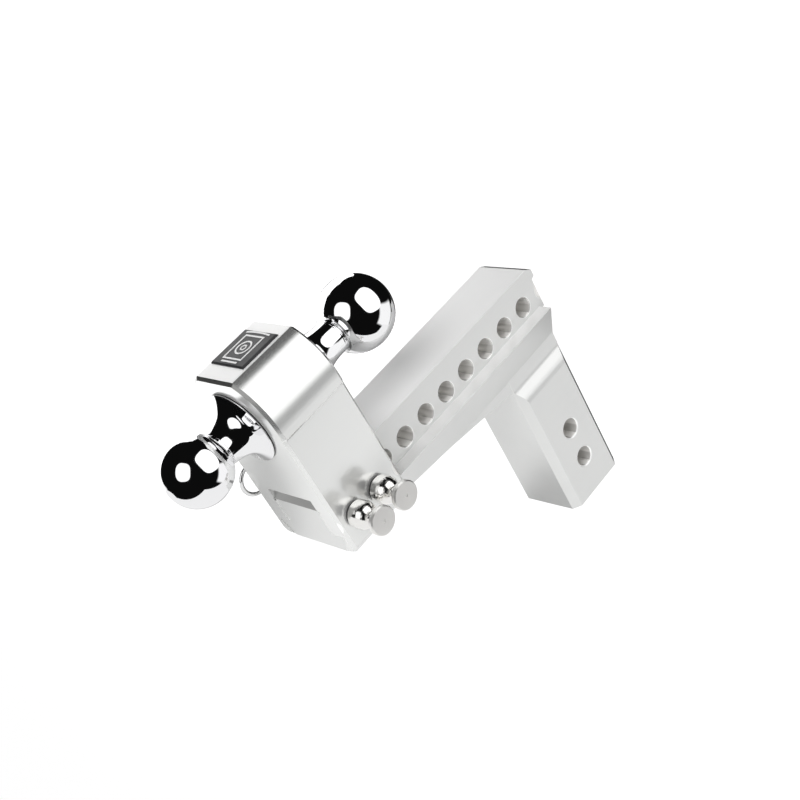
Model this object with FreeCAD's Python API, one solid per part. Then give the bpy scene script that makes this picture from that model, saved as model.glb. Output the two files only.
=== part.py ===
# Adjustable drop-and-rise ball mount, machined from solid aluminium.
# A drawbar slides into a 2-1/2 inch receiver; its column carries ten pin holes and a
# two-ball block held at any height by two lock pins.
# Millimetres.  X runs rearward to the balls, Z is up, Y is across the vehicle.
# Origin: centre of the forward hitch-pin hole, on its axis.
import FreeCAD, Part
import math
import os

V = FreeCAD.Vector
X, Y, Z = V(1, 0, 0), V(0, 1, 0), V(0, 0, 1)

# ---- driving dimensions -------------------------------------------------------------
INCH = 25.4

shank_size = 2.5 * INCH          # square bar that fits the receiver
shank_front = -35.0              # forward end of the bar
shank_bevel = 0.25 * INCH
hitch_hole_d = 16.4              # for 5/8 inch hitch pins
hitch_hole_pitch = 1.25 * INCH

stem_x = 146.05                  # line of the column pin holes
step_x = 134.95                  # step between the narrow stem and the wide flange
stem_back = 169.1                # rear face of the column
stem_width = 2.0 * INCH
flange_width = 3.0 * INCH
flange_nose_width = 2.0 * INCH
flange_nose_x = 108.0            # where the tapering flange sides run out
front_low_x = 97.7               # front of the column at the top of the bar
front_high_x = 118.9             # front of the column behind the block
front_high_z = 185.0
column_top = 228.0
stem_foot = -37.0                # underside of the stem
heel_foot = -40.5                # rounded heel at its rear edge
hole_pitch = 1.0 * INCH
hole_count = 10
hole_low_z = -16.6
pin_d = 0.625 * INCH
pin_hole_d = pin_d + 0.12        # running fit in the column and in the block

block_front = 118.6
block_back = 277.5
block_top = 228.5
block_height = 2.5 * INCH
block_width = 3.5 * INCH
side_skim = 0.95                 # the flat sides are skimmed this much below the nose
skim_end_x = 228.6
nose_start_x = 236.0             # the sides start to curve in here
nose_radius = 49.0
rim_chamfer = 2.2
nose_fillet = 3.2                # on the upright edges of the rear face
slide_gap = 0.3                  # all round between column and block

ball_x = 236.0
upper_ball_d = 2.0 * INCH
lower_ball_d = 2.3125 * INCH
upper_ball_z = 274.0
lower_ball_z = 104.3
ball_bore_d = 1.25 * INCH

collar_r = 10.6                  # domed collar on each lock pin
disc_r = 11.0                    # pull disc on each lock pin
disc_face_y = -73.6

block_half = block_width / 2
side_half = block_half - side_skim
block_low = block_top - block_height
shank_half = shank_size / 2
pin_z = [hole_low_z + hole_pitch * 9, hole_low_z + hole_pitch * 8]


# ---- helpers ------------------------------------------------------------------------
def box(x0, x1, y0, y1, z0, z1):
    return Part.makeBox(x1 - x0, y1 - y0, z1 - z0, V(x0, y0, z0))


def prism(points, height, z0):
    pts = [V(p[0], p[1], z0) for p in points]
    face = Part.Face(Part.makePolygon(pts + [pts[0]]))
    return face.extrude(V(0, 0, height))


def plate_xz(points, y0, y1):
    pts = [V(p[0], y0, p[1]) for p in points]
    face = Part.Face(Part.makePolygon(pts + [pts[0]]))
    return face.extrude(V(0, y1 - y0, 0))


def turned(profile, base, axis):
    # profile: closed list of (radius, height) points, heights measured along the axis
    pts = [V(r, 0, h) for r, h in profile]
    face = Part.Face(Part.makePolygon(pts + [pts[0]]))
    solid = face.revolve(V(0, 0, 0), Z, 360)
    turn = FreeCAD.Rotation(Z, axis)
    solid.Placement = FreeCAD.Placement(base, turn)
    return solid


def rod(radius, base, axis, length):
    return Part.makeCylinder(radius, length, base, axis)


def bore_y(shape, x, z, diameter, half, rim):
    # through hole across the part with a small bevel at both rims
    r = diameter / 2
    shape = shape.cut(rod(r, V(x, -half - 5, z), Y, 2 * half + 10))
    for side in (-1, 1):
        outer = V(x, side * (half + 0.5), z)
        cone = Part.makeCone(r + rim + 0.5, r, rim + 0.5, outer, V(0, -side, 0))
        shape = shape.cut(cone)
    return shape


def edges_on(shape, test):
    picked = []
    for e in shape.Edges:
        ends = [v.Point for v in e.Vertexes]
        if len(ends) == 2 and all(test(p) for p in ends):
            picked.append(e)
    return picked


def near(a, b, tol=0.02):
    return abs(a - b) < tol


def save(shape, name):
    if shape.ShapeType == "Compound" and len(shape.Solids) == 1:
        shape = shape.Solids[0]
    shape.exportStep("parts/" + name + ".step")


os.makedirs("parts", exist_ok=True)


# ---- drawbar ------------------------------------------------------------------------
def column_section(grow):
    # outline of the column seen from above; grow opens it up for the block channel
    w, f, n = stem_width / 2 + grow, flange_width / 2 + grow, flange_nose_width / 2 + grow
    left = [(stem_back + grow, w), (step_x + grow, w), (step_x + grow, f)]
    left = left + [(flange_nose_x, n + 0.9), (front_low_x - 30, n)]
    right = [(x, -y) for x, y in reversed(left)]
    return left + right


bar_end = 128.0
bar = box(shank_front, bar_end, -shank_half, shank_half, -shank_half, shank_half)
long_edges = edges_on(bar, lambda p: near(abs(p.y), shank_half) and near(abs(p.z), shank_half))
long_edges = [e for e in long_edges if abs(e.Vertexes[0].Point.x - e.Vertexes[1].Point.x) > 10]
bar = bar.makeChamfer(shank_bevel, long_edges)
front_edges = edges_on(bar, lambda p: near(p.x, shank_front))
bar = bar.makeChamfer(1.2, front_edges)

column = prism(column_section(0.0), column_top + shank_half, -shank_half)
front_outline = [
    (front_low_x, -shank_half - 1),
    (front_low_x, shank_half),
    (front_high_x, front_high_z),
    (front_high_x, column_top + 1),
    (stem_back + 10, column_top + 1),
    (stem_back + 10, -shank_half - 1),
]
column = column.common(plate_xz(front_outline, -60, 60))

# the waist between flange and bar: the bar's sides roll inward, dip and flare out again
waist = stem_width / 2 + 1.3
flare = (flange_width / 2 - flange_nose_width / 2 - 0.9) / (step_x - flange_nose_x)
flare_end = flange_width / 2 + 8.0 * flare
roll_start = 80.5
roll_r = 20.0
dip_r = 9.0
roll_from, roll_to = math.radians(4.0), math.radians(24.0)


def waist_cutter(side):
    # plan outline of the metal taken off one side of the bar
    crest = shank_half - roll_r * math.cos(roll_from)

    def on_roll(a):
        return V(roll_start + roll_r * math.sin(a), side * (crest + roll_r * math.cos(a)), 0)

    slope_top = on_roll(roll_to)
    dip_y = waist + dip_r * (1 - math.cos(roll_to))
    slope_run = (abs(slope_top.y) - dip_y) / math.tan(roll_to)
    dip_x = slope_top.x + slope_run + dip_r * math.sin(roll_to)

    def on_dip(a):
        return V(dip_x - dip_r * math.sin(a), side * (waist + dip_r * (1 - math.cos(a))), 0)

    flare_start = step_x - (flange_width / 2 - waist) / flare
    rest = [
        on_dip(0.0),
        V(flare_start, side * waist, 0),
        V(step_x + 8.0, side * flare_end, 0),
        V(on_roll(roll_from).x, side * flare_end, 0),
        on_roll(roll_from),
    ]
    roll = Part.Arc(on_roll(roll_from), on_roll((roll_from + roll_to) / 2), slope_top)
    dip = Part.Arc(on_dip(roll_to), on_dip(roll_to / 2), on_dip(0.0))
    edges = [roll.toShape(), Part.makeLine(slope_top, on_dip(roll_to)), dip.toShape()]
    edges += [Part.makeLine(p, q) for p, q in zip(rest, rest[1:])]
    cutter = Part.Face(Part.Wire(edges)).extrude(V(0, 0, shank_size + 2))
    cutter.translate(V(0, 0, -shank_half - 1))
    return cutter


for side in (-1, 1):
    bar = bar.cut(waist_cutter(side))

foot = plate_xz(
    [
        (step_x - 3.0, -shank_half + 1),
        (step_x - 3.0, stem_foot),
        (stem_back - 11.0, stem_foot),
        (stem_back - 9.5, heel_foot),
        (stem_back - 3.5, heel_foot),
        (stem_back, heel_foot + 5.5),
        (stem_back, -shank_half + 1),
    ],
    -stem_width / 2,
    stem_width / 2,
)
drawbar = bar.fuse([column, foot]).removeSplitter()
for i in range(2):
    drawbar = bore_y(drawbar, i * hitch_hole_pitch, 0, hitch_hole_d, shank_half, 1.0)
for i in range(hole_count):
    drawbar = bore_y(drawbar, stem_x, hole_low_z + i * hole_pitch, pin_hole_d, stem_width / 2, 0.6)
# the stem runs a little below the flange and ends in a rounded heel; its rear top edge
# is bevelled
drawbar = drawbar.cut(plate_xz([
    (stem_back + 1, column_top + 1), (stem_back - 10.5, column_top + 1),
    (stem_back - 10.5, column_top), (stem_back + 1, column_top - 6.0),
], -60, 60))
save(drawbar, "drawbar")


# ---- ball block ---------------------------------------------------------------------
def nose_half(x):
    run = x - nose_start_x
    return block_half - nose_radius + math.sqrt(nose_radius ** 2 - run ** 2)


end_half = nose_half(block_back)
mid_x = nose_start_x + 24.0
corner_r = 8.0
c45 = corner_r * (1 - math.sqrt(0.5))


def arm_outline(side):
    # half of the plan outline of the skimmed front part
    inner = skim_end_x + 4.0
    front_y = side * (side_half - corner_r)
    corner = Part.Arc(
        V(block_front, front_y, 0),
        V(block_front + c45, side * (side_half - c45), 0),
        V(block_front + corner_r, side * side_half, 0),
    )
    return [
        Part.makeLine(V(block_front, 0, 0), V(block_front, front_y, 0)),
        corner.toShape(),
        Part.makeLine(V(block_front + corner_r, side * side_half, 0), V(inner, side * side_half, 0)),
        Part.makeLine(V(inner, side * side_half, 0), V(inner, 0, 0)),
    ]


def nose_outline(side):
    # half of the plan outline of the full-width nose
    nose = Part.Arc(
        V(nose_start_x, side * block_half, 0),
        V(mid_x, side * nose_half(mid_x), 0),
        V(block_back, side * end_half, 0),
    )
    stops = [
        V(skim_end_x, 0, 0),
        V(skim_end_x, side * side_half, 0),
        V(skim_end_x + 1.6, side * block_half, 0),
        V(nose_start_x, side * block_half, 0),
    ]
    edges = [Part.makeLine(p, q) for p, q in zip(stops, stops[1:])]
    return edges + [nose.toShape(), Part.makeLine(V(block_back, side * end_half, 0), V(block_back, 0, 0))]


def slab(half_outline):
    edges = Part.__sortEdges__(half_outline(1) + half_outline(-1))
    solid = Part.Face(Part.Wire(edges)).extrude(V(0, 0, block_height))
    solid.translate(V(0, 0, block_low))
    return solid.removeSplitter()


def bevel_rims(solid, joint_x):
    # bevels the top and bottom edges, apart from those at the joint between the slabs
    rims = []
    for e in solid.Edges:
        ends = [v.Point for v in e.Vertexes]
        level = all(near(p.z, block_low) for p in ends) or all(near(p.z, block_top) for p in ends)
        if level and not all(near(p.x, joint_x) for p in ends):
            rims.append(e)
    return solid.makeChamfer(rim_chamfer, rims)


arms = bevel_rims(slab(arm_outline), skim_end_x + 4.0)
nose = slab(nose_outline)
nose_edges = edges_on(nose, lambda p: near(p.x, block_back) and near(abs(p.y), end_half))
nose_edges = [e for e in nose_edges if abs(e.Vertexes[0].Point.z - e.Vertexes[1].Point.z) > 1]
nose = bevel_rims(nose.makeFillet(nose_fillet, nose_edges), skim_end_x)
block = nose.fuse(arms).removeSplitter()

# stepped channel for the column, open at the front
channel = prism(column_section(slide_gap), block_height + 2, block_low - 1)
block = block.cut(channel)
# corner relief at the back of the channel
for side in (-1, 1):
    block = block.cut(rod(1.7, V(stem_back - 11.0, side * stem_width / 2, block_low - 1), Z, block_height + 2))
for z in pin_z:
    block = bore_y(block, stem_x, z, pin_hole_d, side_half, 0.5)

# stud bore and a threaded cross hole for the lock screw
block = block.cut(rod(ball_bore_d / 2, V(ball_x, 0, block_low - 1), Z, block_height + 2))
screw_z = block_low + block_height / 2
block = block.cut(rod(4.0, V(ball_x, ball_bore_d / 2 - 3, screw_z), Y, block_half))
save(block, "ball_block")


# ---- balls --------------------------------------------------------------------------
def ball(diameter, rise, neck, join_r):
    # neck: (radius, height) points from the seat up; join_r is where the sphere begins
    r = diameter / 2
    flat = 6.0
    start = math.asin(join_r / r)
    stop = math.pi - math.asin(flat / r)
    mid = (start + stop) / 2
    first = V(r * math.sin(start), 0, rise - r * math.cos(start))
    middle = V(r * math.sin(mid), 0, rise - r * math.cos(mid))
    last = V(r * math.sin(stop), 0, rise - r * math.cos(stop))
    rim_r, rim_h = neck[0]
    low_r, low_h = neck[-1]
    curve = Part.BSplineCurve()
    curve.interpolate([V(p[0], 0, p[1]) for p in neck])
    lip = first.z - low_h
    grooves = [V(low_r, 0, low_h)]
    for i in range(2):
        h = low_h + lip * (0.08 + 0.36 * i)
        grooves += [V(low_r - 0.7, 0, h), V(low_r - 0.7, 0, h + lip * 0.14)]
        grooves += [V(low_r, 0, h + lip * 0.18), V(low_r, 0, h + lip * 0.30)]
    grooves += [V(join_r - 0.6, 0, first.z - lip * 0.14), first]
    base = [V(0, 0, 0), V(rim_r - 0.7, 0, 0), V(rim_r, 0, 0.7), V(rim_r, 0, rim_h)]
    wire = Part.Wire([
        Part.makePolygon(base),
        curve.toShape(),
        Part.makePolygon(grooves),
        Part.Arc(first, middle, last).toShape(),
        Part.makeLine(last, V(0, 0, last.z)),
        Part.makeLine(V(0, 0, last.z), V(0, 0, 0)),
    ])
    return Part.Face(wire).revolve(V(0, 0, 0), Z, 360)


# both balls screw onto the ends of one stud that fills the block's bore
stud_r = ball_bore_d / 2
thread_r = 10.5
thread_len = 20.0
upper_neck = [(30.0, 1.9), (26.6, 3.2), (22.0, 5.4), (18.6, 8.6), (16.6, 12.4), (15.0, 18.0), (14.3, 23.0)]
upper = ball(upper_ball_d, upper_ball_z - block_top, upper_neck, 16.2)
upper = upper.cut(rod(thread_r, V(0, 0, -1), Z, thread_len + 1))
upper.translate(V(ball_x, 0, block_top))
save(upper, "upper_ball")

lower_neck = [(31.8, 2.0), (27.6, 3.6), (22.6, 6.4), (18.6, 10.6), (16.2, 15.6), (14.8, 21.0), (14.0, 32.5)]
lower = ball(lower_ball_d, block_low - lower_ball_z, lower_neck, 17.0)
lower = lower.cut(rod(thread_r, V(0, 0, -1), Z, thread_len + 1))
lower.rotate(V(0, 0, 0), X, 180)
lower.translate(V(ball_x, 0, block_low))
save(lower, "lower_ball")

stud = rod(stud_r - 0.05, V(ball_x, 0, block_low), Z, block_height)
stud = stud.fuse(rod(thread_r, V(ball_x, 0, block_low - thread_len + 1), Z, block_height + 2 * thread_len - 2))
stud = stud.cut(rod(6.0, V(ball_x, stud_r - 2.5, screw_z), Y, 10))
stud = stud.removeSplitter()
save(stud, "ball_stud")

screw_len = block_half - stud_r + 0.7
screw = rod(4.0, V(ball_x, stud_r - 2.5, screw_z), Y, screw_len)
socket = turned(
    [(0, 0)] + [(2.3, 0), (2.3, 3.5), (0, 3.5)], V(ball_x, stud_r - 2.5 + screw_len - 3.5, screw_z), Y)
screw = screw.cut(socket)
save(screw, "stud_lock_screw")


# ---- badge --------------------------------------------------------------------------
badge_w, badge_h = 38.0, 36.0
badge_z = 195.0
badge = box(block_back, block_back + 1.8, -badge_w / 2, badge_w / 2,
            badge_z - badge_h / 2, badge_z + badge_h / 2)
edges = edges_on(badge, lambda p: near(p.x, block_back + 1.8))
badge = badge.makeChamfer(0.9, edges)
save(badge, "badge_plate")

frame_bar = box(block_back + 1.8, block_back + 2.1, -11.0, 11.0, badge_z - 12.5, badge_z + 12.5)
frame_bar = frame_bar.cut(box(block_back + 1, block_back + 3, -9.6, 9.6, badge_z - 11.1, badge_z + 11.1))
save(frame_bar, "badge_border")


# ---- lock pins ----------------------------------------------------------------------
ring_t = 1.9
collar_y = -side_half - slide_gap - ring_t
tail_y = block_half + 13.0
clip_y = block_half + 7.0
clip_tilt = {"upper": 25.0, "lower": -25.0}   # the clips turn away from each other
wire_r = 1.6
eye_r = 12.0


def clip_way(name):
    tilt = math.radians(clip_tilt[name])
    return V(math.cos(tilt), 0, math.sin(tilt))


def lock_pin(name, z):
    # heights run from the outer disc face inward along +Y
    face = disc_face_y
    r = pin_d / 2
    shoulder = collar_y - face
    pts = [(0, 0.5), (1.2, 0.5), (1.6, 0)]
    pts += [(disc_r - 0.8, 0), (disc_r, 0.8), (disc_r, 3.4), (disc_r - 0.8, 4.2), (5.2, 4.6), (4.6, 5.4)]
    dome_mid = shoulder - 5.4
    start = math.asin(4.6 / collar_r)
    steps = 10
    low = dome_mid - collar_r * math.cos(start)
    for i in range(steps + 1):
        a = start + (math.pi / 2 - start) * i / steps
        pts.append((collar_r * math.sin(a), dome_mid - collar_r * math.cos(a)))
    pts += [(collar_r, shoulder - 1.0), (collar_r - 1.0, shoulder), (r, shoulder)]
    end = tail_y - face
    pts += [(r, end - 2.0), (r - 2.0, end), (0, end)]
    pin = turned(pts, V(stem_x, face, z), Y)
    way = clip_way(name)
    hole = rod(wire_r + 0.15, V(stem_x, clip_y, z) - way * 20, way, 40)
    return pin.cut(hole)


def pin_ring(z):
    ring = rod(collar_r - 1.2, V(stem_x, collar_y, z), Y, ring_t)
    ring = ring.cut(rod(pin_d / 2, V(stem_x, collar_y - 1, z), Y, ring_t + 2))
    return ring


def clip(name, z):
    # straight leg through the pin with a round eye of the same wire at its outer end
    origin = V(stem_x, clip_y, z)
    way = clip_way(name)
    reach = 11.5
    leg = rod(wire_r, origin - way * 12.5, way, 12.5 + reach)
    tip = Part.makeSphere(wire_r, origin - way * 12.5)
    centre = origin + way * (reach + eye_r)
    eye = Part.makeTorus(eye_r, wire_r, centre, Y)
    shape = leg.fuse([tip, eye]).removeSplitter()
    return shape


names = ["upper", "lower"]
for name, z in zip(names, pin_z):
    save(lock_pin(name, z), name + "_lock_pin")
    save(pin_ring(z), name + "_pin_ring")
    save(clip(name, z), name + "_pin_clip")
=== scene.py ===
import math

import bmesh
import bpy
from mathutils import Matrix, Vector


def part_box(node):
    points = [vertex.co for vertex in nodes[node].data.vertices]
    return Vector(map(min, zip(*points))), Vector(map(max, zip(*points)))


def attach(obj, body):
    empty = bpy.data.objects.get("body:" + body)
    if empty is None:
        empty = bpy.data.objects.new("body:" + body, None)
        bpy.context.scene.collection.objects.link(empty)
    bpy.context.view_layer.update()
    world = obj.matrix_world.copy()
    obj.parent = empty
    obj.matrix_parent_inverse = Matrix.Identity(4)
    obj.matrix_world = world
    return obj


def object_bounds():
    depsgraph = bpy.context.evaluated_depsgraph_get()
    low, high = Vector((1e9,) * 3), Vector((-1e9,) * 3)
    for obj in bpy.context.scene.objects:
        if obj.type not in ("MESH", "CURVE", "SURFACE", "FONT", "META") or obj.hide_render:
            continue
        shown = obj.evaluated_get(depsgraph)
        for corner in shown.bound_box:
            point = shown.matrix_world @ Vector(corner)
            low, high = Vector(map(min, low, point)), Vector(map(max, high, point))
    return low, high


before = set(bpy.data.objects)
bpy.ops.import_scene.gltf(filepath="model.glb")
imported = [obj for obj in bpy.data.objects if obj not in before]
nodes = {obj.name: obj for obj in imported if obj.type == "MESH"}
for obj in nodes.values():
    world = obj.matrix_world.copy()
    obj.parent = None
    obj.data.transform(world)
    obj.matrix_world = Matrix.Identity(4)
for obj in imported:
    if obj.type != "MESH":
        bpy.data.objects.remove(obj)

cad_low, cad_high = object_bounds()
scene = bpy.context.scene
MM = 0.001

# ---- camera ---------------------------------------------------------------------------
# picture-right, picture-up and towards-the-camera directions in the row frame
RIGHT = Vector((-0.4347, -0.6596, -0.6132)).normalized()
BACK = Vector((0.5103, -0.7414, 0.4358)).normalized()
UP = BACK.cross(RIGHT).normalized()
RIGHT = UP.cross(BACK).normalized()
CAMERA_AT = Vector((0.66668, -0.74408, 0.54624))
LENS_MM = 59.35

cam_data = bpy.data.cameras.new("camera")
cam_data.sensor_width = 36.0
cam_data.lens = LENS_MM
cam_data.clip_start = 0.01
cam_data.clip_end = 50.0
camera = bpy.data.objects.new("camera", cam_data)
scene.collection.objects.link(camera)
turn = Matrix((RIGHT, UP, BACK)).transposed()
camera.matrix_world = Matrix.Translation(CAMERA_AT) @ turn.to_4x4()
scene.camera = camera


# ---- node helpers -----------------------------------------------------------------------
class Tree:
    """Short hand for building one node tree."""

    def __init__(self, tree):
        self.tree = tree
        tree.nodes.clear()

    def add(self, kind, **settings):
        node = self.tree.nodes.new(kind)
        for key, value in settings.items():
            setattr(node, key, value)
        return node

    def put(self, socket, value):
        if isinstance(value, bpy.types.NodeSocket):
            self.tree.links.new(value, socket)
        else:
            socket.default_value = value

    def math(self, op, a, b=0.0, c=0.0, clamp=False):
        node = self.add("ShaderNodeMath", operation=op, use_clamp=clamp)
        for i, value in enumerate((a, b, c)):
            self.put(node.inputs[i], value)
        return node.outputs[0]

    def dot(self, vector, direction):
        node = self.add("ShaderNodeVectorMath", operation="DOT_PRODUCT")
        self.put(node.inputs[0], vector)
        node.inputs[1].default_value = direction
        return node.outputs["Value"]

    def ramp(self, value, low, high, out_low=0.0, out_high=1.0):
        node = self.add("ShaderNodeMapRange", interpolation_type="SMOOTHSTEP")
        self.put(node.inputs["Value"], value)
        node.inputs["From Min"].default_value = low
        node.inputs["From Max"].default_value = high
        node.inputs["To Min"].default_value = out_low
        node.inputs["To Max"].default_value = out_high
        return node.outputs["Result"]

    def place(self, scale=(1, 1, 1)):
        coord = self.add("ShaderNodeTexCoord")
        mapping = self.add("ShaderNodeMapping")
        mapping.inputs["Scale"].default_value = scale
        self.put(mapping.inputs["Vector"], coord.outputs["Object"])
        return mapping.outputs["Vector"]

    def noise(self, vector, scale, detail=3.0, rough=0.5):
        node = self.add("ShaderNodeTexNoise")
        self.put(node.inputs["Vector"], vector)
        node.inputs["Scale"].default_value = scale
        node.inputs["Detail"].default_value = detail
        node.inputs["Roughness"].default_value = rough
        return node.outputs["Fac"]

    def colours(self, factor, dark, light):
        node = self.add("ShaderNodeMix", data_type="RGBA")
        self.put(node.inputs["Factor"], factor)
        node.inputs["A"].default_value = (*dark, 1)
        node.inputs["B"].default_value = (*light, 1)
        return node.outputs["Result"]

    def blend(self, factor, a, b):
        node = self.add("ShaderNodeMix", data_type="RGBA")
        self.put(node.inputs["Factor"], factor)
        self.put(node.inputs["A"], a)
        self.put(node.inputs["B"], b)
        return node.outputs["Result"]

    def bump(self, height, strength, distance):
        node = self.add("ShaderNodeBump")
        node.inputs["Strength"].default_value = strength
        node.inputs["Distance"].default_value = distance
        self.put(node.inputs["Height"], height)
        return node.outputs["Normal"]

    def place_parts(self):
        """The point's own X, Y and Z in the object."""
        node = self.add("ShaderNodeSeparateXYZ")
        self.put(node.inputs[0], self.add("ShaderNodeTexCoord").outputs["Object"])
        return node.outputs

    def distance(self, a, b):
        """Length of a vector from its two parts."""
        squares = self.math("ADD", self.math("MULTIPLY", a, a), self.math("MULTIPLY", b, b))
        return self.math("SQRT", squares)


def new_object(name, shape):
    """An object from a bmesh, which is freed."""
    mesh = bpy.data.meshes.new(name)
    shape.to_mesh(mesh)
    shape.free()
    obj = bpy.data.objects.new(name, mesh)
    scene.collection.objects.link(obj)
    return obj


def material(name):
    mat = bpy.data.materials.new(name)
    mat.use_nodes = True
    t = Tree(mat.node_tree)
    shader = t.add("ShaderNodeBsdfPrincipled")
    out = t.add("ShaderNodeOutputMaterial")
    t.put(out.inputs["Surface"], shader.outputs["BSDF"])
    return mat, t, shader.inputs


# ---- materials --------------------------------------------------------------------------
# radii that take in a bore's wall, and the chamfer round its mouth
WALL_REACH = 8.3 * MM
RIM_REACH = 10.5 * MM
# how deep the satin finish of a pull disc reaches, and radians of turning marks per metre
DISC_DEPTH = 5.0 * MM
RING_WAVES = 16000.0


def satin_aluminium(name, tint, bright, smooth, holes):
    """Clear-anodised aluminium: faint clouds, duller ends square to X and smoother bored holes,
    with painted light: the ends square to X and the chamfers round the bores are painted
    paler as painted highlight, and the bevels that lean both ways are painted darker as painted
    shade.

    tint is the general colour and bright the paler colour painted on the faces square to X,
    which were machined flat in another operation and are duller; holes are (x, z, pitch) of
    bores along Y, where a pitch stands for a row of bores that repeats along Z.
    """
    mat, t, s = material(name)
    point = t.place_parts()
    facing = t.add("ShaderNodeSeparateXYZ")
    t.put(facing.inputs[0], t.add("ShaderNodeTexCoord").outputs["Normal"])
    square_x = t.ramp(t.math("ABSOLUTE", facing.outputs["X"]), 0.90, 0.98)
    largest = t.math("ABSOLUTE", facing.outputs["X"])
    for axis in "YZ":
        largest = t.math("MAXIMUM", largest, t.math("ABSOLUTE", facing.outputs[axis]))
    slanted = t.ramp(largest, 0.965, 0.90)
    inside = None
    around = None
    for x, z, pitch in holes:
        dx = t.math("SUBTRACT", point["X"], x)
        dz = t.math("SUBTRACT", point["Z"], z)
        if pitch:
            dz = t.math("WRAP", dz, pitch / 2, -pitch / 2)
        r = t.distance(dx, dz)
        wall = t.math("LESS_THAN", r, WALL_REACH)
        near = t.math("LESS_THAN", r, RIM_REACH)
        inside = wall if inside is None else t.math("MAXIMUM", inside, wall)
        around = near if around is None else t.math("MAXIMUM", around, near)
    outside = t.math("SUBTRACT", 1.0, inside)
    painted_rim = t.math("MULTIPLY", t.math("MULTIPLY", around, slanted), outside)
    fine = t.noise(t.place((1, 1, 0.07)), 420.0, 2.0, 0.5)
    cloud = t.noise(t.place(), 16.0, 3.0, 0.5)
    mixed = t.math("ADD", t.math("MULTIPLY", fine, 0.12), t.math("MULTIPLY", cloud, 0.88))
    grade = t.ramp(mixed, 0.35, 0.65)
    plain = t.colours(grade, tuple(c * 0.965 for c in tint), tint)
    # the faces square to X take this paler colour: painted highlight, a lighter side standing
    # for how the light falls on them
    painted_pale = t.colours(grade, tuple(c * 0.985 for c in bright), bright)
    skin = t.blend(square_x, plain, painted_pale)
    # the bevels that lean both ways, at the top and bottom of the rear face, are painted darker:
    # painted shade for how the light falls on them
    lean_x = t.ramp(facing.outputs["X"], 0.30, 0.45)
    lean_z = t.ramp(t.math("ABSOLUTE", facing.outputs["Z"]), 0.30, 0.45)
    painted_bevel_shade = t.math("MULTIPLY", t.math("MULTIPLY", lean_x, lean_z), outside)
    skin = t.blend(painted_bevel_shade, skin, t.colours(cloud, (0.27, 0.27, 0.265), (0.31, 0.31, 0.305)))
    # the chamfer round each bore's mouth is painted pale, and made less metallic below: a
    # painted highlight
    skin = t.blend(painted_rim, skin, painted_pale)
    bored = t.colours(cloud, (0.86, 0.85, 0.83), (0.92, 0.91, 0.89))
    t.put(s["Base Color"], t.blend(inside, skin, bored))
    outer = t.ramp(mixed, 0.30, 0.70, smooth - 0.02, smooth + 0.03)
    outer = t.math("ADD", outer, t.math("MULTIPLY", square_x, 0.24))
    t.put(s["Roughness"], t.math("SUBTRACT", outer, t.math("MULTIPLY", inside, 0.08)))
    metal = t.math("ADD", 0.60, t.math("MULTIPLY", slanted, 0.26))
    metal = t.math("SUBTRACT", metal, t.math("MULTIPLY", square_x, 0.25))
    metal = t.math("SUBTRACT", metal, t.math("MULTIPLY", inside, 0.25))
    t.put(s["Metallic"], t.math("SUBTRACT", metal, t.math("MULTIPLY", painted_rim, 0.60)))
    return mat


def chrome(name, tint=(0.93, 0.93, 0.94), smooth=0.03, contact_shade_z=None):
    """Mirror plating; the last argument is the height where a ball meets the block, round which
    a thin near-black ring is painted shade for the dark contact line.
    """
    mat, t, s = material(name)
    haze = t.noise(t.place(), 60.0, 4.0, 0.6)
    bright = t.colours(haze, tuple(c * 0.98 for c in tint), tint)
    rough = t.ramp(haze, 0.35, 0.75, smooth, smooth + 0.03)
    # a thin near-black, rougher ring where the ball meets the block: painted shade for the
    # contact line
    if contact_shade_z is not None:
        gap = t.math("ABSOLUTE", t.math("SUBTRACT", t.place_parts()["Z"], contact_shade_z))
        painted_rim = t.ramp(gap, 0.0013, 0.0010)
        bright = t.blend(painted_rim, bright, t.colours(haze, (0.03, 0.03, 0.03), (0.05, 0.05, 0.05)))
        rough = t.math("ADD", rough, t.math("MULTIPLY", painted_rim, 0.35))
    t.put(s["Base Color"], bright)
    t.put(s["Roughness"], rough)
    s["Metallic"].default_value = 1.0
    return mat


def pin_steel(name, axis_x, axis_z, disc_y):
    """Polished stainless, with the turned face of the pull disc left satin."""
    mat, t, s = material(name)
    point = t.place_parts()
    dx = t.math("SUBTRACT", point["X"], axis_x)
    dz = t.math("SUBTRACT", point["Z"], axis_z)
    rings = t.math("SINE", t.math("MULTIPLY", t.distance(dx, dz), RING_WAVES))
    haze = t.noise(t.place(), 150.0, 4.0, 0.6)
    face = t.ramp(point["Y"], disc_y + DISC_DEPTH, disc_y + DISC_DEPTH - 1.0 * MM)
    polish = t.ramp(haze, 0.3, 0.7, 0.13, 0.18)
    t.put(s["Roughness"], t.math("ADD", polish, t.math("MULTIPLY", face, 0.24)))
    t.put(s["Base Color"], t.colours(haze, (0.86, 0.85, 0.83), (0.93, 0.92, 0.90)))
    s["Metallic"].default_value = 1.0
    t.put(s["Normal"], t.bump(t.math("MULTIPLY", rings, face), 0.10, 0.00002))
    return mat


def turned_steel(name, tint, smooth):
    mat, t, s = material(name)
    grain = t.noise(t.place((1, 1, 30)), 260.0, 3.0, 0.6)
    t.put(s["Base Color"], t.colours(grain, tuple(c * 0.85 for c in tint), tint))
    t.put(s["Roughness"], t.ramp(grain, 0.3, 0.7, smooth - 0.05, smooth + 0.08))
    s["Metallic"].default_value = 1.0
    t.put(s["Normal"], t.bump(grain, 0.12, 0.00005))
    return mat


def black_rubber(name):
    mat, t, s = material(name)
    grain = t.noise(t.place(), 1500.0, 4.0, 0.6)
    t.put(s["Base Color"], t.colours(grain, (0.008, 0.008, 0.008), (0.022, 0.022, 0.022)))
    t.put(s["Roughness"], t.ramp(grain, 0.3, 0.7, 0.50, 0.68))
    t.put(s["Normal"], t.bump(grain, 0.25, 0.0001))
    return mat


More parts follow.
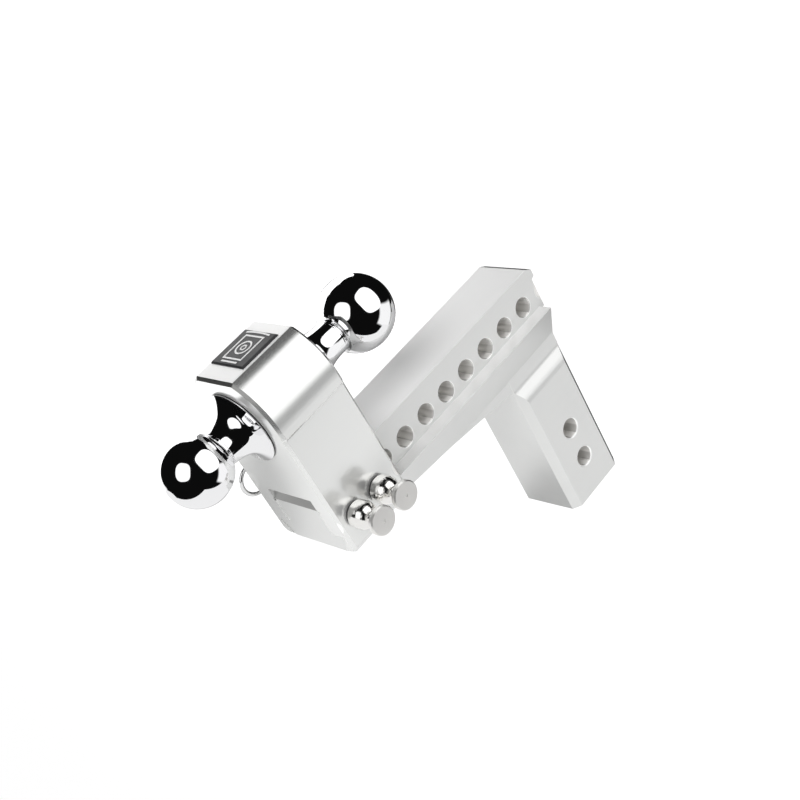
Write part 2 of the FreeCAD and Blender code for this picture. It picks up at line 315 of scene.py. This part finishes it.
def badge_plastic(name):
    mat, t, s = material(name)
    fleck = t.noise(t.place(), 2600.0, 2.0, 0.7)
    haze = t.noise(t.place(), 70.0, 3.0, 0.5)
    specks = t.ramp(fleck, 0.45, 0.75)
    t.put(s["Base Color"], t.colours(specks, (0.016, 0.016, 0.017), (0.034, 0.034, 0.036)))
    t.put(s["Roughness"], t.ramp(haze, 0.3, 0.7, 0.30, 0.40))
    s["Specular IOR Level"].default_value = 0.35
    t.put(s["Normal"], t.bump(fleck, 0.04, 0.00005))
    return mat


def badge_ink(name):
    mat, t, s = material(name)
    fleck = t.noise(t.place(), 1800.0, 3.0, 0.6)
    t.put(s["Base Color"], t.colours(fleck, (0.72, 0.72, 0.72), (0.86, 0.86, 0.86)))
    t.put(s["Roughness"], t.ramp(fleck, 0.3, 0.7, 0.35, 0.48))
    s["Metallic"].default_value = 0.35
    t.put(s["Normal"], t.bump(fleck, 0.05, 0.00004))
    return mat


GREY = (0.80, 0.805, 0.795)
BRIGHT = (0.88, 0.885, 0.875)
PALE = (0.95, 0.95, 0.945)
# x, z and pitch of the bores; the hitch-pin bores do not repeat
COLUMN_HOLES = (0.14605, -0.0166, 0.0254)
HITCH_HOLES = [(0.0, 0.0, 0.0), (0.03175, 0.0, 0.0)]
bar_metal = satin_aluminium("drawbar aluminium", GREY, PALE, 0.30, [COLUMN_HOLES, *HITCH_HOLES])
block_metal = satin_aluminium("block aluminium", BRIGHT, PALE, 0.20, [COLUMN_HOLES])
wire_metal = chrome("clip wire", (0.82, 0.82, 0.82), 0.10)
stud_metal = turned_steel("stud steel", (0.50, 0.50, 0.51), 0.34)
rubber = black_rubber("ring rubber")
badge_black = badge_plastic("badge black")
badge_silver = badge_ink("badge silver")


def dress(name, mat):
    mesh = nodes[name].data
    mesh.materials.clear()
    mesh.materials.append(mat)


def soften(name, width, segments):
    """A small rounded edge, so that the machined corners catch light."""
    mod = nodes[name].modifiers.new("edge", "BEVEL")
    mod.width = width
    mod.segments = segments
    mod.limit_method = "ANGLE"
    mod.angle_limit = math.radians(25)
    mod.harden_normals = True


dress("drawbar", bar_metal)
dress("ball_block", block_metal)
dress("upper_ball", chrome("upper ball chrome", contact_shade_z=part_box("upper_ball")[0][2]))
dress("lower_ball", chrome("lower ball chrome", contact_shade_z=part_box("lower_ball")[1][2]))
for name in ("ball_stud", "stud_lock_screw"):
    dress(name, stud_metal)
dress("badge_plate", badge_black)
dress("badge_border", badge_silver)
for side in ("upper", "lower"):
    low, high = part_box(side + "_lock_pin")
    mid = (Vector(low) + Vector(high)) / 2
    dress(side + "_lock_pin", pin_steel(side + " pin steel", mid.x, mid.z, low[1]))
    dress(side + "_pin_ring", rubber)
    dress(side + "_pin_clip", wire_metal)


# ---- badge marks ------------------------------------------------------------------------
def add_ring(bm, centre, outer, inner, thick, sides):
    """A flat ring square to X, with its inner and outer walls."""
    loops = []
    for radius, lift in ((outer, 0.0), (outer, thick), (inner, thick), (inner, 0.0)):
        loop = []
        for i in range(sides):
            a = 2 * math.pi * i / sides
            y, z = radius * math.cos(a), radius * math.sin(a)
            loop.append(bm.verts.new(centre + Vector((lift, y, z))))
        loops.append(loop)
    for k in range(4):
        one, two = loops[k], loops[(k + 1) % 4]
        for i in range(sides):
            j = (i + 1) % sides
            bm.faces.new((one[i], one[j], two[j], two[i]))


def add_bar(bm, centre, width, height, thick, bow, steps=12):
    """A flat bar across Y whose middle is bowed along Z by bow."""
    rows = []
    for i in range(steps + 1):
        f = 2.0 * i / steps - 1.0
        y, z = f * width / 2, bow * (1 - f * f)
        corners = ((0, -height / 2), (thick, -height / 2), (thick, height / 2), (0, height / 2))
        rows.append([bm.verts.new(centre + Vector((x, y, z + dz))) for x, dz in corners])
    for a, b in zip(rows, rows[1:]):
        for k in range(4):
            m = (k + 1) % 4
            bm.faces.new((a[k], b[k], b[m], a[m]))
    bm.faces.new(rows[0])
    bm.faces.new(list(reversed(rows[-1])))


plate_low, plate_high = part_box("badge_plate")
badge_mid = (Vector(plate_low) + Vector(plate_high)) / 2
# the marks start just under the plate's face
badge_mid.x = plate_high[0] - 0.05 * MM
MARK_THICK = 0.3 * MM
BAR_HEIGHT = 1.5 * MM
BAR_RISE = Vector((0, 0, 15.0 * MM))
marks = bmesh.new()
add_ring(marks, badge_mid, 7.0 * MM, 5.6 * MM, MARK_THICK, 48)
add_ring(marks, badge_mid, 3.1 * MM, 1.9 * MM, MARK_THICK, 6)
add_bar(marks, badge_mid - BAR_RISE, 27 * MM, BAR_HEIGHT, MARK_THICK, -1.0 * MM)
add_bar(marks, badge_mid + BAR_RISE, 18 * MM, BAR_HEIGHT, MARK_THICK, 0.0)
bmesh.ops.recalc_face_normals(marks, faces=marks.faces)
badge_marks = new_object("badge_marks", marks)
badge_marks.data.materials.append(badge_silver)
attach(badge_marks, "ball_block")

soften("drawbar", 0.5 * MM, 2)
# keeps the block's flat faces flat in their shading, next to its rounded edges
flatten = nodes["ball_block"].modifiers.new("flat faces", "WEIGHTED_NORMAL")
flatten.weight = 100
flatten.keep_sharp = True

# ---- floor and light --------------------------------------------------------------------
# the part hangs from a receiver: the floor lies just under the lower ball's lowest position
BLOCK_TRAVEL = 0.1524
FLOOR_Z = min(cad_low[2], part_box("lower_ball")[0][2] - BLOCK_TRAVEL) - 1.0 * MM
FLOOR_HALF = 20.0
sheet = bmesh.new()
bmesh.ops.create_grid(sheet, x_segments=4, y_segments=4, size=FLOOR_HALF)
bmesh.ops.translate(sheet, verts=sheet.verts, vec=(0.1, 0.0, FLOOR_Z))
floor = new_object("floor", sheet)
floor_mat = bpy.data.materials.new("floor")
floor_mat.use_nodes = True
ft = Tree(floor_mat.node_tree)
glow = ft.add("ShaderNodeEmission")
glow.inputs["Color"].default_value = (1, 1, 1, 1)
glow.inputs["Strength"].default_value = 0.94
matte = ft.add("ShaderNodeBsdfDiffuse")
matte.inputs["Color"].default_value = (0.34, 0.34, 0.34, 1)
both = ft.add("ShaderNodeAddShader")
ft.put(both.inputs[0], glow.outputs[0])
ft.put(both.inputs[1], matte.outputs[0])
ft.put(ft.add("ShaderNodeOutputMaterial").inputs["Surface"], both.outputs[0])
floor.data.materials.append(floor_mat)
floor.visible_glossy = False
floor.visible_diffuse = False

# studio: a side panel and two rounded softboxes in the dark; the camera itself sees white
world = bpy.data.worlds.new("studio")
scene.world = world
world.use_nodes = True
w = Tree(world.node_tree)
ray = w.add("ShaderNodeTexCoord").outputs["Generated"]


def aim(right, up, back):
    return (RIGHT * right + UP * up + BACK * back).normalized()


def within(value, low, high, soft):
    rise = w.ramp(value, low - soft, low + soft)
    fall = w.ramp(value, high + soft, high - soft)
    return w.math("MULTIPLY", rise, fall)


def softbox(direction, long_way, long_deg, wide_deg, level):
    """A rounded lamp: long_way is the rough direction of its long axis."""
    long_axis = (long_way - direction * long_way.dot(direction)).normalized()
    wide_axis = direction.cross(long_axis)
    u = w.math("DIVIDE", w.dot(ray, long_axis), math.sin(math.radians(long_deg)))
    v = w.math("DIVIDE", w.dot(ray, wide_axis), math.sin(math.radians(wide_deg)))
    u2, v2 = w.math("MULTIPLY", u, u), w.math("MULTIPLY", v, v)
    r = w.math("ADD", w.math("POWER", u2, 1.35), w.math("POWER", v2, 1.35))
    front = w.math("GREATER_THAN", w.dot(ray, direction), 0.0)
    shape = w.math("MULTIPLY", w.ramp(r, 1.06, 0.92), front)
    return w.math("MULTIPLY", shape, level)


right_part, up_part, back_part = w.dot(ray, RIGHT), w.dot(ray, UP), w.dot(ray, BACK)
tall, broad = within(back_part, -0.56, 0.24, 0.06), within(up_part, -0.42, 0.34, 0.05)
side_panel = w.math("MULTIPLY", tall, broad)
side_panel = w.math("MULTIPLY", side_panel, w.math("GREATER_THAN", right_part, 0.0))
key_way = aim(0.586, 0.568, 0.577)
fill_way = aim(-0.60, 0.0, 0.80)
zones = [
    side_panel,
    softbox(key_way, aim(0.7, -0.7, 0.0), 34, 31, 1.45),
    softbox(fill_way, aim(-1.0, 0.0, 0.0), 24, 26, 1.20),
]
DARK = 0.004
level = DARK
for zone in zones:
    level = w.math("MAXIMUM", level, zone)
studio = w.add("ShaderNodeBackground")
w.put(studio.inputs["Color"], (1, 1, 1, 1))
w.put(studio.inputs["Strength"], level)
plain = w.add("ShaderNodeBackground")
plain.inputs["Color"].default_value = (1, 1, 1, 1)
plain.inputs["Strength"].default_value = 1.0
choose = w.add("ShaderNodeMixShader")
w.put(choose.inputs[0], w.add("ShaderNodeLightPath").outputs["Is Camera Ray"])
w.put(choose.inputs[1], studio.outputs[0])
w.put(choose.inputs[2], plain.outputs[0])
w.put(w.add("ShaderNodeOutputWorld").inputs["Surface"], choose.outputs[0])


def view_point(right, up, back):
    return (RIGHT * right + UP * up + BACK * back) * MM


def card(name, corners, strength, painted_shadows=()):
    """A glowing card that only reflections see.

    corners are in mm to the right, up and towards the camera; each painted shadow is the centre,
    radius and remaining strength of a dimmer patch, painted shade on the card for a contact
    shadow.
    """
    shape = bmesh.new()
    shape.faces.new([shape.verts.new(view_point(*corner)) for corner in corners])
    obj = new_object(name, shape)
    mat = bpy.data.materials.new(name)
    mat.use_nodes = True
    c = Tree(mat.node_tree)
    shine = c.add("ShaderNodeEmission")
    power = strength
    for centre, radius, remains in painted_shadows:
        gap = c.add("ShaderNodeVectorMath", operation="DISTANCE")
        c.put(gap.inputs[0], c.add("ShaderNodeTexCoord").outputs["Object"])
        gap.inputs[1].default_value = view_point(*centre)
        shadow_dim = c.ramp(gap.outputs["Value"], radius * 0.3 * MM, radius * MM, remains, 1.0)
        power = c.math("MULTIPLY", shadow_dim, power)
    c.put(shine.inputs["Strength"], power)
    c.put(c.add("ShaderNodeOutputMaterial").inputs["Surface"], shine.outputs[0])
    obj.data.materials.append(mat)
    obj.visible_camera = False
    obj.visible_shadow = False
    obj.visible_diffuse = False


# each card's own plane, in mm along the view axis that it is square to
TABLE_U = -80
# the table card's two dimmer patches are painted shadows: contact shadows under the shank's end
# and under the lower ball
card("table card", [
    (-700, TABLE_U, -200), (-420, TABLE_U, 160), (-230, TABLE_U, 300), (40, TABLE_U, 170),
    (300, TABLE_U, 130), (900, TABLE_U, -1500), (900, TABLE_U, -3500), (-3000, TABLE_U, -3500),
], 0.92, [((-20, TABLE_U, -30), 70, 0.40), ((-270, TABLE_U, 50), 100, 0.40)])

SIDE_R = -385
card("side card", [
    (SIDE_R, TABLE_U, 145), (SIDE_R, 270, 140), (SIDE_R, 520, 60), (SIDE_R, 3000, -2200),
    (SIDE_R, 3000, -3500), (SIDE_R, TABLE_U, -3500),
], 1.50)

FLAG_B = -430
card("black flag", [
    (-365, TABLE_U, FLAG_B), (420, TABLE_U, FLAG_B), (420, 330, FLAG_B), (-365, 330, FLAG_B),
], 0.05)


LAMP_TARGET = Vector((0.12, 0.0, 0.10))


def lamp(name, where, size, power):
    """A round soft lamp that stands at where from the target; reflections do not show it."""
    data = bpy.data.lights.new(name, "AREA")
    data.shape = "DISK"
    data.size = size
    data.energy = power
    obj = bpy.data.objects.new(name, data)
    scene.collection.objects.link(obj)
    obj.location = LAMP_TARGET + where
    obj.rotation_euler = (-where).to_track_quat("-Z", "Y").to_euler()
    obj.visible_glossy = False


lamp("lamp above", Vector((0.2, -0.3, 1.5)), 1.6, 11.0)
lamp("lamp front", Vector((-0.5, -1.4, 0.7)), 1.2, 13.0)
lamp("lamp rear", Vector((1.35, -0.35, 0.45)), 1.2, 15.0)
lamp("lamp far side", Vector((-0.3, 1.4, 0.7)), 1.2, 1.5)

scene.view_settings.view_transform = "Standard"
scene.view_settings.look = "None"
